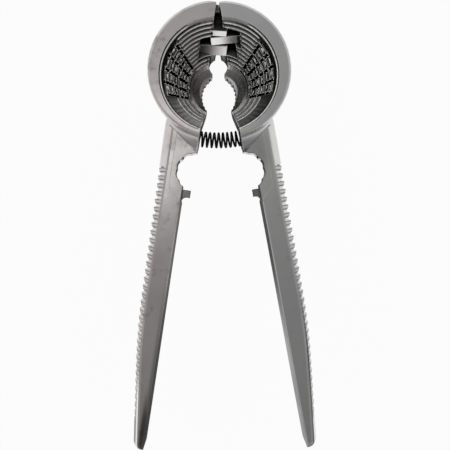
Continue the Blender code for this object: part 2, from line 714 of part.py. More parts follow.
def hinge_pin(material, parts, cutters):
    """The rivet: a plain upper end inside the first finger, and a low domed head under the boss."""
    top = FINGERS[0][1] + BORE_CAP + SEAT_GAP
    head_top = HEAD_DEPTH - COUNTERBORE_DEPTH + SEAT_GAP
    profile = [
        (0.0, -top),
        (RIVET_RADIUS - 0.3 * MM, -top),
        (RIVET_RADIUS, -top - 0.3 * MM),
        (RIVET_RADIUS, -head_top),
        (RIVET_HEAD_RADIUS, -head_top),
        (RIVET_HEAD_RADIUS, -head_top - 0.4 * RIVET_HEAD_HEIGHT),
        (RIVET_HEAD_RADIUS * 0.7, -head_top - 0.85 * RIVET_HEAD_HEIGHT),
        (0.0, -head_top - RIVET_HEAD_HEIGHT),
    ]
    return finish(turned("hinge_pin", profile, (0.0, 0.0), parts), material, 0.0)


def spring_line(length, share):
    """A place on the spring's centre line and the way it runs: straight in the pockets, bent between."""
    bend = 2 * HALF_OPENING * SPRING_DOWN
    straight = (length - bend) / 2
    travelled = share * length
    if travelled < straight:
        turn, past = -HALF_OPENING, travelled - straight
    elif travelled > straight + bend:
        turn, past = HALF_OPENING, travelled - straight - bend
    else:
        turn, past = (travelled - straight) / SPRING_DOWN - HALF_OPENING, 0.0
    along = Vector((math.cos(turn), math.sin(turn), 0.0))
    outward = Vector((math.sin(turn), -math.cos(turn), 0.0))
    return outward * SPRING_DOWN + along * past + Vector((0.0, 0.0, -SPRING_DEPTH)), along, outward


def spring_points():
    """The wire's centre: a helix about the bent line, with each end run straight to its pocket's floor."""
    tail = 1.1 * SPRING_WIRE
    seat = POCKET_LENGTH - SEAT_GAP
    length = 2 * HALF_OPENING * SPRING_DOWN + 2 * seat
    coiled_from = tail / length
    steps = round(SPRING_TURNS * SPRING_POINTS_PER_TURN)
    points = []
    for i in range(steps + 1):
        share = coiled_from + (1 - 2 * coiled_from) * i / steps
        centre, _, outward = spring_line(length, share)
        angle = SPRING_START + 2 * math.pi * SPRING_TURNS * i / steps
        spoke = outward * math.cos(angle) + Vector((0, 0, 1)) * math.sin(angle)
        points.append(centre + SPRING_RADIUS * spoke)
    _, first_way, _ = spring_line(length, 0.0)
    _, last_way, _ = spring_line(length, 1.0)
    return [points[0] - first_way * tail, *points, points[-1] + last_way * tail]


def least_gap(points, diameter):
    """The least clear distance between stretches of the wire that aren't next to each other."""
    least = math.inf
    skip = SPRING_POINTS_PER_TURN // 2
    for i, point in enumerate(points):
        for other in points[i + skip :]:
            least = min(least, (point - other).length - diameter)
    return least


def return_spring(material, parts):
    points = spring_points()
    gap = least_gap(points, SPRING_WIRE)
    print(f"return_spring: least gap between its turns {gap / MM:.2f} mm")
    curve = bpy.data.curves.new("return_spring", "CURVE")
    curve.dimensions = "3D"
    curve.bevel_depth = SPRING_WIRE / 2
    curve.bevel_resolution = 1
    curve.use_fill_caps = True
    spline = curve.splines.new("POLY")
    spline.points.add(len(points) - 1)
    for point, place in zip(spline.points, points):
        point.co = (*place, 1.0)
    return finish(bake(add_object("return_spring", curve, parts)), material, 0.0)


def finish(obj, material, turn):
    """Stands the piece on the ground plane with its origin on the rivet's axis, turned to its open pose."""
    obj.data.materials.clear()
    obj.data.materials.append(material)
    obj.data.shade_smooth()
    obj.data.set_sharp_from_angle(angle=math.radians(28))
    obj.location = (0.0, RIVET_TO_MIDDLE, HEAD_DEPTH)
    obj.rotation_euler = (0.0, 0.0, turn)
    return obj


def main():
    clear_scene()
    parts = new_collection("funnel_nutcracker")
    cutters = new_collection("cutters")
    warm_casting = new_material("left_casting", (0.42, 0.40, 0.39), 0.42, 0.85)
    grey_casting = new_material("right_casting", (0.38, 0.38, 0.38), 0.42, 0.85)
    steel = new_material("rivet_steel", (0.45, 0.45, 0.46), 0.35, 1.0)
    dark_steel = new_material("spring_steel", (0.07, 0.07, 0.07), 0.4, 0.9)
    arm("left_arm", warm_casting, parts, cutters)
    arm("right_arm", grey_casting, parts, cutters)
    hinge_pin(steel, parts, cutters)
    return_spring(dark_steel, parts)


main()
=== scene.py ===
import math
import random
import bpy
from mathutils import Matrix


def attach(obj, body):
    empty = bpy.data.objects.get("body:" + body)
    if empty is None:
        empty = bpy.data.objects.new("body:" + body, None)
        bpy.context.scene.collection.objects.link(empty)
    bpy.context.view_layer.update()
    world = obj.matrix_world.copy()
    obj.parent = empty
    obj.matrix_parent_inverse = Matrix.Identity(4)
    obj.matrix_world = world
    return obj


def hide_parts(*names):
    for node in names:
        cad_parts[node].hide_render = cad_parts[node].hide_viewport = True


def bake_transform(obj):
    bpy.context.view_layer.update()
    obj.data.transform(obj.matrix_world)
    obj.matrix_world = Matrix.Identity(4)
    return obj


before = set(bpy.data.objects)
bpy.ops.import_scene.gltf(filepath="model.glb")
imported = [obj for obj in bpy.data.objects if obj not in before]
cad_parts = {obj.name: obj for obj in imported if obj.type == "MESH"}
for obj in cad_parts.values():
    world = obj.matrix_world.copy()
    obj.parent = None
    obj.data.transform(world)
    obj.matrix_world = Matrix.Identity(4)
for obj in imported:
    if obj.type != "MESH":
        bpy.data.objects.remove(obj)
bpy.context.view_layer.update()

from types import SimpleNamespace

import bmesh
import bpy
from mathutils import Matrix, Vector

MM = 0.001

# The rivet's place, and the plane of the funnel's rim, which the photograph was taken above
RIVET = Vector((0.0, 88.0 * MM, 0.0))
RIM_HEIGHT = 43.0 * MM
HALF_OPENING = math.radians(9.8)

# The funnel's cavity, whose middle lies a little to each arm's own side
CAVITY_ACROSS, CAVITY_DOWN = 1.0 * MM, 24.8 * MM
CAVITY_RADIUS = 24.15 * MM
LIP_DEPTH = 1.3 * MM

# Its rings, whose crests lie on a cone; the outer ones stop at the last tooth
FIRST_CREST_RADIUS, LAST_CREST_RADIUS = 22.45 * MM, 12.7 * MM
FIRST_CREST_DEPTH, LAST_CREST_DEPTH = 3.4 * MM, 30.7 * MM
RING_STEPS = 10
OUTER_RINGS = 4

# How far from the split plane the rings start at each depth: beside the slit, the hinge's fingers and
# the keyhole, as (down to this depth, on the left arm, on the right arm), and where they end
RING_STARTS = (
    (7.8 * MM, 1.8 * MM, 1.8 * MM),
    (12.2 * MM, 1.8 * MM, 8.7 * MM),
    (18.4 * MM, 7.2 * MM, 8.7 * MM),
    (26.4 * MM, 7.2 * MM, 6.9 * MM),
    (43.0 * MM, 3.0 * MM, 3.0 * MM),
)
RING_END_ACROSS = 0.4 * MM

# The beads on the crests and the bright one round the mouth; the blunter, the more even to their ends
BEAD_THICKNESS = 0.36 * MM
LIP_BEAD_RADIUS, LIP_BEAD_DEPTH, LIP_BEAD_THICKNESS = 23.6 * MM, 1.35 * MM, 0.42 * MM
LIP_BEAD_FROM = math.radians(28.0)
CREST_BLUNTNESS = 40.0
CREST_POINTS = 28
BEAD_SIDES = 8
BEAD_END_SHARE = 0.12

# The teeth, in rows between the grooves that run down the cone, and smaller ones across the grooves
TOOTH_GROOVES = 5
TEETH_PER_ROW = 6
TOOTH_FROM, TOOTH_TO = math.radians(50.0), math.radians(108.0)
TOOTH_GROOVE_SPAN = math.radians(3.4)
TOOTH_HALF_SPAN = math.radians(4.2)
TOOTH_THICKNESS = 0.5 * MM
TOOTH_ARCH = 0.7 * MM
TOOTH_BLUNTNESS = 3.0
TOOTH_POINTS = 7
GROOVE_TOOTH_SIZE, GROOVE_TOOTH_SHARE = 0.55, 0.6

# How uneven the teeth are: rows slide along the cone, and each tooth's place, span and height vary
TOOTH_SEED = 8
ROW_START, ROW_SLIDE = 0.25, 0.3
TOOTH_WANDER_DEGREES = 0.7
TOOTH_SPAN_RANGE = (0.65, 1.1)
TOOTH_HEIGHT_RANGE = (0.6, 1.2)

# The hollow fillet between the rim's underside and each arm's front, whose back and foot are buried
RIM_RADIUS = 28.8 * MM
FRONT_DEPTH = 4.54 * MM
FILLET_TOP_DEPTH = 1.5 * MM
FILLET_WIDTH, FILLET_END_WIDTH = 6.2 * MM, 1.6 * MM
FILLET_START_ACROSS, FILLET_END_ACROSS = 0.12 * MM, 12.6 * MM
FILLET_PROUD = 0.02 * MM
FILLET_BACK, FILLET_FOOT = 0.5 * MM, 0.3 * MM
FILLET_STEPS = 10
FILLET_SHARP = math.radians(40.0)

# The web in the slit behind the rivet: its outline in plan from the rivet, and its top and bottom
HEEL_OUTLINE = (
    (-1.6 * MM, 1.8 * MM),
    (0.75 * MM, 1.8 * MM),
    (0.4 * MM, 4.9 * MM),
    (-1.6 * MM, 4.9 * MM),
)
HEEL_DEPTHS = (2.4 * MM, 9.4 * MM)

# The return spring, coiled on an arc about the rivet
SPRING_DOWN = 50.9 * MM
SPRING_DEPTH = 10.5 * MM
SPRING_RADIUS = 3.05 * MM
SPRING_WIRE = 0.9 * MM
SPRING_TURNS = 14.5
SPRING_START = math.pi
SPRING_POINTS_PER_TURN = 24
SPRING_SEAT = 6.2 * MM
SPRING_TAIL = 0.88 * MM
WIRE_SIDES = 12

# The hinge's fingers, which stand in the back of the cavity
FINGER_ACROSS, FINGER_DOWN = 6.9 * MM, 14.6 * MM
FINGER_TOP_DEPTH, FINGER_BOTTOM_DEPTH = 8.6 * MM, 25.6 * MM
FINGER_FRONT_WAY = (0.0, -0.94, 0.34)

# The ribs on the handles' outsides; the middle and top of one are shares of the pitch
RIB_FROM, RIB_TO, RIB_PITCH = 65.8 * MM, 170.95 * MM, 3.392 * MM
RIB_MIDDLE = 0.27
RIB_TOP = (0.08, 0.2)
RIB_TOP_SHARE = 0.3

# The zones of an arm that a finish keeps to, each with its limits as (measure, none here, full here)
ZONES = {
    "funnel": (
        ("cavity_reach", CAVITY_RADIUS, CAVITY_RADIUS - 0.4 * MM),
        ("depth", LIP_DEPTH, LIP_DEPTH + 0.5 * MM),
        ("outward", 0.35, 0.2),
        ("upward", -0.7, -0.5),
    ),
    "low_wall": (
        ("down", 31.0 * MM, 36.0 * MM),
        ("depth", 14.6 * MM, 13.1 * MM),
    ),
    "lip": (
        ("cavity_reach", CAVITY_RADIUS - 0.1 * MM, CAVITY_RADIUS - 0.4 * MM),
        ("depth", LIP_DEPTH + 0.5 * MM, LIP_DEPTH + 0.3 * MM),
        ("upward", 0.4, 0.6),
        ("down", 9.0 * MM, 14.0 * MM),
    ),
    "fingers": (
        ("across_size", FINGER_ACROSS + 0.3 * MM, FINGER_ACROSS),
        ("down", FINGER_DOWN + 0.3 * MM, FINGER_DOWN),
        ("depth", FINGER_TOP_DEPTH - 0.3 * MM, FINGER_TOP_DEPTH),
        ("depth", FINGER_BOTTOM_DEPTH + 0.3 * MM, FINGER_BOTTOM_DEPTH),
        ("finger_facing", 0.955, 0.985),
    ),
    "third_finger": (
        ("depth", 18.0 * MM, 18.3 * MM),
    ),
    "third_finger_left": (
        ("depth", 18.0 * MM, 18.3 * MM),
        ("east", 5.0 * MM, -5.0 * MM),
    ),
    "slit": (
        ("east_size", 2.5 * MM, 2.2 * MM),
        ("down", 9.5 * MM, 8.5 * MM),
        ("depth", 1.4 * MM, 2.0 * MM),
    ),
    "split_face": (
        ("facing", -0.7, -0.9),
    ),
    "front": (
        ("off_front", 0.14 * MM, 0.1 * MM),
        ("upward", 0.97, 0.99),
    ),
    "web": (
        ("across_size", 14.0 * MM, 6.0 * MM),
        ("down", 49.0 * MM, 54.0 * MM),
        ("down", 68.0 * MM, 60.0 * MM),
    ),
    "oval_edge": (
        ("down", 55.5 * MM, 57.5 * MM),
        ("down", 84.0 * MM, 79.0 * MM),
        ("across_size", 14.5 * MM, 13.0 * MM),
    ),
    "stop": (
        ("across_size", 4.1 * MM, 3.6 * MM),
        ("down", 72.5 * MM, 73.0 * MM),
        ("down", 78.0 * MM, 77.5 * MM),
    ),
    "ribs": (
        ("rib_offset", 0.38, 0.32),
        ("facing", 0.3, 0.6),
        ("down", RIB_FROM - 0.5 * MM, RIB_FROM),
        ("down", RIB_TO + 2.5 * MM, RIB_TO + 2.0 * MM),
    ),
    "chamfer": (
        ("upward", 0.3, 0.5),
        ("upward", 0.95, 0.86),
    ),
    "lower_handle": (
        ("down", 95.0 * MM, 150.0 * MM),
    ),
    "inner_edge": (
        ("across_size", 5.8 * MM, 3.0 * MM),
    ),
    "inner_tip": (
        ("across_size", 6.6 * MM, 5.0 * MM),
        ("down", 156.0 * MM, 174.0 * MM),
    ),
    "outer_tip": (
        ("facing", 0.1, 0.3),
        ("down", 150.0 * MM, 164.0 * MM),
    ),
    "tip_flank": (
        ("facing", 0.2, 0.5),
        ("down", RIB_TO + 2.0 * MM, RIB_TO + 3.0 * MM),
    ),
}

# The two castings: the left one is warmer and more blotched, with painted shade along its tip's inner
# edge; each has its own strengths of painted shade and painted highlight
LEFT = SimpleNamespace(
    side=-1,
    body="left_arm",
    slot="left_casting",
    metal_name="left_cast_metal",
    rim_place=(1.04 * MM, 22.4 * MM),
    light=(0.66, 0.63, 0.615),
    dark=(0.54, 0.5, 0.49),
    blotches=0.6,
    wall_shade=0.62,
    flank_shade=0.15,
    flank_reflection_shade=1.0,
    outer_line=0.0,
    inner_shade=0.8,
    tip_shade_tone=0.75,
    tip_flank_highlight=0.1,
    tip_reflection_shade=0.5,
    highlighted_tip_part="tip_line",
)
RIGHT = SimpleNamespace(
    side=1,
    body="right_arm",
    slot="right_casting",
    metal_name="right_cast_metal",
    rim_place=(1.4 * MM, 22.75 * MM),
    light=(0.64, 0.635, 0.63),
    dark=(0.55, 0.55, 0.55),
    blotches=0.25,
    wall_shade=0.88,
    flank_shade=0.6,
    flank_reflection_shade=0.2,
    outer_line=1.0,
    inner_shade=0.0,
    tip_shade_tone=0.85,
    tip_flank_highlight=0.4,
    tip_reflection_shade=0.0,
    highlighted_tip_part="tip_flank",
)

# The clouds and blotches of the castings
CLOUDS, CLOUD_RANGE = {"scale": 55.0, "detail": 5.0}, (0.35, 0.7)
BLOTCHES, BLOTCH_RANGE = {"scale": 130.0, "detail": 4.0, "roughness": 0.65}, (0.56, 0.72)
BLOTCH_TONE = 0.55
GLOSS_RANGE, CAST_ROUGHNESS = (0.25, 0.75), (0.2, 0.3)
SPLIT_ROUGHENING = 0.12

# Painted shade: how strong each is, and its colour
FUNNEL_SHADE, BOWL_SHADE = 0.85, 0.3
BOWL_FROM, BOWL_TO = 30.5 * MM, 32.0 * MM
FUNNEL_SHADE_COLOUR = (0.03, 0.029, 0.028)
SPLIT_SHADE = 0.7
HEAD_TO, HANDLE_FROM = 54.0 * MM, 58.0 * MM
SPLIT_SHADE_COLOUR = (0.03, 0.03, 0.03)
# Painted shade on the ribs' sides
RIB_SHADE, RIB_SHADE_COLOUR = 0.68, (0.08, 0.079, 0.078)
WEB_SHADE, STOP_SHADE, SHADE_COLOUR = 0.32, 0.6, (0.05, 0.049, 0.048)
SHADE_LINE_STRENGTH, SHADE_LINE_COLOUR = 0.85, (0.04, 0.039, 0.038)
FINGER_SHADE, FINGER_SHADE_COLOUR = 0.85, (0.09, 0.088, 0.086)
TIP_DARK_FROM, TIP_DARK_TO = 145.0 * MM, 184.0 * MM

# Painted shade in creases, where it also stands for grime, and in deeper pockets: how far it looks, how
# open a place is, and its darkest tone
CREASE_REACH, CREASE_RANGE, CREASE_TONE = 1.2 * MM, (0.2, 0.8), 0.3
POCKET_REACH, POCKET_RANGE, POCKET_TONE = 8.0 * MM, (0.2, 0.62), 0.12
LIP_UNSHADED = 0.9

# Wear and painted highlights: how bright the edges and the ring crests are rubbed, and how bright the
# painted highlights on the hinge's fingers and the lip are
BRIGHT_METAL = (0.9, 0.89, 0.88)
EDGE_REACH, EDGE_RANGE = 0.5 * MM, (0.95, 0.55)
EDGE_WEAR, CREST_WEAR = 0.2, 1.0
FINGER_HIGHLIGHT, THIRD_FINGER_HIGHLIGHT = 0.9, 0.35
LIP_HIGHLIGHT = 0.7

# Painted shade on reflections: how far the grazing reflections are darkened
FUNNEL_REFLECTION_SHADE, RIB_REFLECTION_SHADE = 0.78, 0.5
CLEAR_TINT, SHADED_REFLECTION_TINT = (1.0, 1.0, 1.0), (0.05, 0.05, 0.05)

# Relief of the castings: rounded edges, soft waves, the finishing belt's lines and a fine grain
EDGE_ROUNDING, CREST_ROUNDING, FRONT_ROUNDING_SHARE = 0.22 * MM, 0.45 * MM, 0.05
WAVES, WAVE_RELIEF = {"scale": 170.0}, {"strength": 0.2, "depth": 0.12 * MM}
BELT_LINES, BELT_RELIEF = {"scale": 2600.0}, {"strength": 0.12, "depth": 0.02 * MM}
BELT_STRETCH = 0.06
GRAIN, GRAIN_RELIEF = {"scale": 2400.0, "detail": 2.0}, {"strength": 0.15, "depth": 0.02 * MM}
SHADER_SAMPLES = 8

# The polished beads on the crests and the teeth, the rivet and the spring's wire
CREST_FINISH = {"name": "polished_crests", "speck_tone": 0.7, "roughness": 0.34}
TOOTH_FINISH = {"name": "polished_teeth", "speck_tone": 0.3, "roughness": 0.2}
BEAD_SPECKS, BEAD_SPECK_RANGE = {"scale": 420.0, "detail": 4.0, "roughness": 0.6}, (0.5, 0.66)
SPECK_ROUGHENING = 0.2
BEAD_GRAIN = {"scale": 1800.0, "detail": 2.0}
RIVET_RING_PITCH, RIVET_RING_RELIEF = 0.11 * MM, {"strength": 0.15, "depth": 0.01 * MM}
RIVET_SPECKS, RIVET_SPECK_RANGE = {"scale": 900.0, "detail": 4.0}, (0.55, 0.7)
RIVET_COLOUR, RIVET_SPECK_COLOUR = (0.5, 0.5, 0.51), (0.22, 0.21, 0.2)
RIVET_ROUGHNESS = (0.26, 0.45)
WIRE_MARKS, WIRE_MARK_RANGE = {"scale": 900.0}, (0.45, 0.72)
WIRE_COLOUR, WIRE_RUBBED_COLOUR = (0.014, 0.014, 0.015), (0.06, 0.058, 0.056)
WIRE_TINT = (0.3, 0.3, 0.3, 1.0)
WIRE_METALLIC = 0.9
WIRE_GLOSS_RANGE, WIRE_ROUGHNESS = (0.3, 0.7), (0.42, 0.3)
WIRE_GRAIN = {"scale": 1600.0, "detail": 2.0}
WIRE_GRAIN_RELIEF = {"strength": 0.2, "depth": 0.02 * MM}

# The photograph: where the rivet and the middle of the lens fall in it, and its scale at the rim
IMAGE_SIZE = 450
RIVET_PIXEL = Vector((218.0, 14.5))
LENS_PIXEL = Vector((217.0, 225.0))
METRES_PER_PIXEL = 0.000415
CAMERA_ABOVE_RIM = 0.275
CAMERA_ROLL = math.radians(-0.95)
CAMERA_CLIP = 0.01
SENSOR_WIDTH = 36.0

# The floor, the lamp beside the camera, and the sky, which is dim about one way, as (height, tone)
FLOOR_REACH = 3.0
FLOOR_COLOUR, FLOOR_ROUGHNESS = (0.86, 0.86, 0.86, 1.0), 0.9
FLOOR_GLOW = 0.94
LAMP_PLACE, LAMP_AIM = Vector((-0.115, 0.15, 1.0)), Vector((0.0, 0.0, 0.0))
LAMP_SIZE, LAMP_POWER = 0.12, 0.14
DIM_WAY = Vector((0.08, -0.2, 1.0))
DIM_FROM = 0.88
SKY_TONES = ((0.1, 1.0), (DIM_FROM, 0.42), (1.0, 0.24))

# What each arc of a bead is described by
ARC_VALUES = ("number", "radius", "depth", "first", "last", "arch", "thickness", "bluntness")


def put(tree, value, socket):
    """Feeds a socket from another socket, or sets it to a plain value."""
    if isinstance(value, bpy.types.NodeSocket):
        tree.links.new(value, socket)
    else:
        socket.default_value = value


def node(tree, kind, settings=None, **inputs):
    """A node with its settings, and its inputs given by name with _ for a space."""
    made = tree.nodes.new(kind)
    for name, value in (settings or {}).items():
        setattr(made, name, value)
    for name, value in inputs.items():
        put(tree, value, made.inputs[name.replace("_", " ")])
    return made


def maths(tree, operation, *values):
    """A Math node's result, from sockets or plain numbers."""
    made = node(tree, "ShaderNodeMath", {"operation": operation})
    for value, socket in zip(values, made.inputs):
        put(tree, value, socket)
    return made.outputs[0]


def vector_maths(tree, operation, *values):
    """A Vector Math node's result, from sockets or plain vectors."""
    made = node(tree, "ShaderNodeVectorMath", {"operation": operation})
    for value, socket in zip(values, made.inputs):
        put(tree, value, socket)
    return made.outputs["Value" if operation in ("DOT_PRODUCT", "LENGTH") else "Vector"]


def in_plan(tree, vector):
    """A vector laid flat, as it is seen from above."""
    return vector_maths(tree, "MULTIPLY", vector, (1, 1, 0))


def step(tree, value, start, end, low=0.0, high=1.0):
    """A smooth step from low, where the value is at start, to high, where it is at end."""
    made = node(tree, "ShaderNodeMapRange", {"interpolation_type": "SMOOTHSTEP", "clamp": True})
    for socket, given in zip(made.inputs, (value, start, end, low, high)):
        put(tree, given, socket)
    return made.outputs["Result"]


def graded(tree, share, low, high):
    """A value that goes smoothly from low to high with a share."""
    return step(tree, share, 0.0, 1.0, low, high)


def product(tree, first, *others):
    """Values multiplied together, each a socket or a plain number."""
    for other in others:
        first = maths(tree, "MULTIPLY", first, other)
    return first


def strongest(tree, first, *others):
    """The highest of some values, each a socket or a plain number."""
    for other in others:
        first = maths(tree, "MAXIMUM", first, other)
    return first


def rest_of(tree, share):
    """What a share leaves of the whole."""
    return maths(tree, "SUBTRACT", 1.0, share)


def mixed(tree, share, first, second, blend="MIX"):
    """Mixes two colours, given as sockets or as (red, green, blue)."""
    made = node(tree, "ShaderNodeMix", {"data_type": "RGBA", "blend_type": blend, "clamp_factor": True})
    put(tree, share, made.inputs["Factor"])
    colour_sockets = [socket for socket in made.inputs if socket.type == "RGBA"]
    for socket, colour in zip(colour_sockets, (first, second)):
        put(tree, (*colour, 1.0) if isinstance(colour, tuple) else colour, socket)
    return next(socket for socket in made.outputs if socket.type == "RGBA")


def noise(tree, vector, scale, detail=3.0, roughness=0.5):
    """Soft random patches, from 0 to 1."""
    sizes = {"Scale": scale, "Detail": detail, "Roughness": roughness}
    return node(tree, "ShaderNodeTexNoise", Vector=vector, **sizes).outputs["Fac"]


def relief(tree, height, strength, depth, below):
    """Bump from a height, laid over the surface whose normal is given."""
    made = node(tree, "ShaderNodeBump", Strength=strength, Distance=depth, Height=height, Normal=below)
    return made.outputs["Normal"]


def new_material(name):
    """A material with its node tree and its shader."""
    material = bpy.data.materials.new(name)
    material.use_nodes = True
    tree = material.node_tree
    return material, tree, tree.nodes["Principled BSDF"]


def coat(tree, shader, tone, roughness, surface, metallic=1.0):
    """Gives a metal its colour, its roughness and the relief of its surface."""
    put(tree, tone, shader.inputs["Base Color"])
    put(tree, metallic, shader.inputs["Metallic"])
    put(tree, roughness, shader.inputs["Roughness"])
    put(tree, surface, shader.inputs["Normal"])


def place_on_object(tree):
    """Where a point of the surface lies, in metres; all patterns are laid by it."""
    return node(tree, "ShaderNodeTexCoord").outputs["Object"]


def surface_normal(tree, kind="Normal"):
    """The way that the surface faces, smoothed or, as True Normal, as it is built."""
    return node(tree, "ShaderNodeNewGeometry").outputs[kind]


def shelter(tree, reach, inside=False):
    """How open a place is: to the air around it or, inside, to the metal behind it, as at an edge."""
    settings = {"samples": SHADER_SAMPLES, "inside": inside}
    normal = surface_normal(tree, "True Normal")
    return node(tree, "ShaderNodeAmbientOcclusion", settings, Distance=reach, Normal=normal).outputs["AO"]


def arm_frame(side):
    """The ways across and down the arm in its open pose."""
    cos, sin = math.cos(HALF_OPENING), math.sin(HALF_OPENING)
    return (side * cos, sin, 0.0), (side * sin, -cos, 0.0)


def arm_measures(tree, side, place):
    """Where a place lies on an arm and which way its surface faces, as sockets by name."""
    normal = node(tree, "ShaderNodeTexCoord").outputs["Normal"]
    across_way, down_way = arm_frame(side)
    from_rivet = vector_maths(tree, "SUBTRACT", place, tuple(RIVET))
    across = vector_maths(tree, "DOT_PRODUCT", from_rivet, across_way)
    down = vector_maths(tree, "DOT_PRODUCT", from_rivet, down_way)
    parts = node(tree, "ShaderNodeSeparateXYZ", Vector=place).outputs
    depth = maths(tree, "SUBTRACT", RIM_HEIGHT, parts["Z"])
    cavity_middle = (side * CAVITY_ACROSS, RIVET.y - CAVITY_DOWN, 0.0)
    from_cavity = in_plan(tree, vector_maths(tree, "SUBTRACT", place, cavity_middle))
    outward_way = vector_maths(tree, "NORMALIZE", from_cavity)
    ribs_down = maths(tree, "DIVIDE", maths(tree, "SUBTRACT", down, RIB_FROM), RIB_PITCH)
    off_rib = maths(tree, "SUBTRACT", maths(tree, "FRACT", ribs_down), RIB_MIDDLE)
    return {
        "across": across,
        "across_size": maths(tree, "ABSOLUTE", across),
        "down": down,
        "depth": depth,
        "height": parts["Z"],
        "east": parts["X"],
        "east_size": maths(tree, "ABSOLUTE", parts["X"]),
        "off_front": maths(tree, "ABSOLUTE", maths(tree, "SUBTRACT", depth, FRONT_DEPTH)),
        "cavity_reach": vector_maths(tree, "LENGTH", from_cavity),
        "rib_offset": maths(tree, "ABSOLUTE", off_rib),
        "upward": node(tree, "ShaderNodeSeparateXYZ", Vector=normal).outputs["Z"],
        "outward": vector_maths(tree, "DOT_PRODUCT", normal, outward_way),
        "facing": vector_maths(tree, "DOT_PRODUCT", normal, across_way),
        "finger_facing": vector_maths(tree, "DOT_PRODUCT", normal, FINGER_FRONT_WAY),
    }


def arm_zones(tree, casting, arm):
    """How far a place lies inside each zone of an arm, from 0 to 1."""
    on = SimpleNamespace()
    for name, limits in ZONES.items():
        shares = [step(tree, arm[measure], none, full) for measure, none, full in limits]
        setattr(on, name, product(tree, *shares))
    on.off_fingers = rest_of(tree, on.fingers)
    # The funnel's painted shade, kept off the fingers and the lip
    on.tarnished = product(tree, on.funnel, on.off_fingers, rest_of(tree, on.lip))
    on.wall_share = graded(tree, on.low_wall, 1.0, casting.wall_shade)
    on.split = strongest(tree, on.split_face, product(tree, on.slit, on.off_fingers))
    on.rib_sides = product(tree, on.ribs, step(tree, arm["rib_offset"], *RIB_TOP, RIB_TOP_SHARE, 1.0))
    on.tip_line = product(tree, on.chamfer, on.outer_tip)
    return on


def cast_tone(tree, casting, place, clouds):
    """The bare casting: light and dark clouds with darker blotches."""
    tone = mixed(tree, step(tree, clouds, *CLOUD_RANGE), casting.light, casting.dark)
    blotches = step(tree, noise(tree, place, **BLOTCHES), *BLOTCH_RANGE)
    blotch_colour = tuple(BLOTCH_TONE * part for part in casting.dark)
    return mixed(tree, product(tree, blotches, casting.blotches), tone, blotch_colour)


def tarnished_tone(tree, casting, arm, on, tone):
    """Painted shade: darkens the inside of the funnel, the split face, the sides of the ribs, the web and
    the stop.
    """
    funnel_shade_strength = step(tree, arm["depth"], BOWL_FROM, BOWL_TO, FUNNEL_SHADE, BOWL_SHADE)
    # Painted shade on the split faces and in the slit, weaker along the handles
    split_shade_strength = step(tree, arm["down"], HEAD_TO, HANDLE_FROM, SPLIT_SHADE, casting.flank_shade)
    shade = strongest(tree, product(tree, on.web, WEB_SHADE), product(tree, on.stop, STOP_SHADE))
    layers = (
        (product(tree, on.tarnished, funnel_shade_strength, on.wall_share), FUNNEL_SHADE_COLOUR),
        (product(tree, on.split, on.off_fingers, split_shade_strength), SPLIT_SHADE_COLOUR),
        (product(tree, on.rib_sides, RIB_SHADE), RIB_SHADE_COLOUR),
        (shade, SHADE_COLOUR),
    )
    for share, colour in layers:
        tone = mixed(tree, share, tone, colour)
    return tone


def unshaded_share(tree, on):
    """How far a place is kept from painted shade: least in creases, where it also stands for grime, and
    in deep pockets, and most on the fronts and the lip.
    """
    creases = step(tree, shelter(tree, CREASE_REACH), *CREASE_RANGE, CREASE_TONE, 1.0)
    pockets = step(tree, shelter(tree, POCKET_REACH), *POCKET_RANGE, POCKET_TONE, 1.0)
    lip = product(tree, on.lip, LIP_UNSHADED)
    return strongest(tree, product(tree, creases, pockets), on.front, lip)


def wear_and_highlights(tree, casting, on, edges):
    """How bright a place is made: rubbed on edges and ring crests, and painted highlights on the fingers'
    fronts, the lip and the tip.
    """
    edge_wear = graded(tree, on.tarnished, EDGE_WEAR, CREST_WEAR)
    finger_highlight = graded(tree, on.third_finger, FINGER_HIGHLIGHT, THIRD_FINGER_HIGHLIGHT)
    return strongest(
        tree,
        product(tree, edges, rest_of(tree, on.front), edge_wear),
        product(tree, on.fingers, finger_highlight),
        product(tree, on.lip, LIP_HIGHLIGHT),
        product(tree, on.tip_flank, casting.tip_flank_highlight),
        on.tip_line,
    )


def edge_shade_lines(tree, casting, on, edges):
    """Painted shade lines round the oval and along the lower handle, and painted shade on its inner edge.
    """
    which_edges = strongest(tree, on.inner_edge, casting.outer_line)
    handle_line = product(tree, on.chamfer, on.lower_handle, which_edges)
    lines = strongest(tree, product(tree, edges, on.oval_edge), handle_line)
    inner = strongest(tree, product(tree, on.inner_edge, on.lower_handle), on.inner_tip)
    return strongest(tree, product(tree, lines, SHADE_LINE_STRENGTH), product(tree, inner, casting.inner_shade))


def reflection_shade(tree, casting, on, wear_and_highlight):
    """How far a place's grazing reflections are darkened with a painted shade."""
    return strongest(
        tree,
        product(tree, on.tarnished, rest_of(tree, wear_and_highlight), on.wall_share, FUNNEL_REFLECTION_SHADE),
        product(tree, on.split, graded(tree, on.lower_handle, 1.0, casting.flank_reflection_shade)),
        product(tree, on.rib_sides, RIB_REFLECTION_SHADE),
        product(tree, on.tip_flank, casting.tip_reflection_shade),
    )


def cast_surface(tree, place, arm, on):
    """Rounded edges and soft waves, with the belt's lines along the arm and a fine grain over them."""
    rounding = graded(tree, on.funnel, EDGE_ROUNDING, CREST_ROUNDING)
    rounding = product(tree, rounding, graded(tree, on.front, 1.0, FRONT_ROUNDING_SHARE))
    surface = node(tree, "ShaderNodeBevel", {"samples": SHADER_SAMPLES}, Radius=rounding).outputs[0]
    shortened = product(tree, arm["down"], BELT_STRETCH)
    stretched = node(tree, "ShaderNodeCombineXYZ", X=arm["across"], Y=shortened, Z=arm["height"])
    surface = relief(tree, noise(tree, place, **WAVES), below=surface, **WAVE_RELIEF)
    belt_lines = noise(tree, stretched.outputs[0], **BELT_LINES)
    surface = relief(tree, belt_lines, below=surface, **BELT_RELIEF)
    return relief(tree, noise(tree, place, **GRAIN), below=surface, **GRAIN_RELIEF)


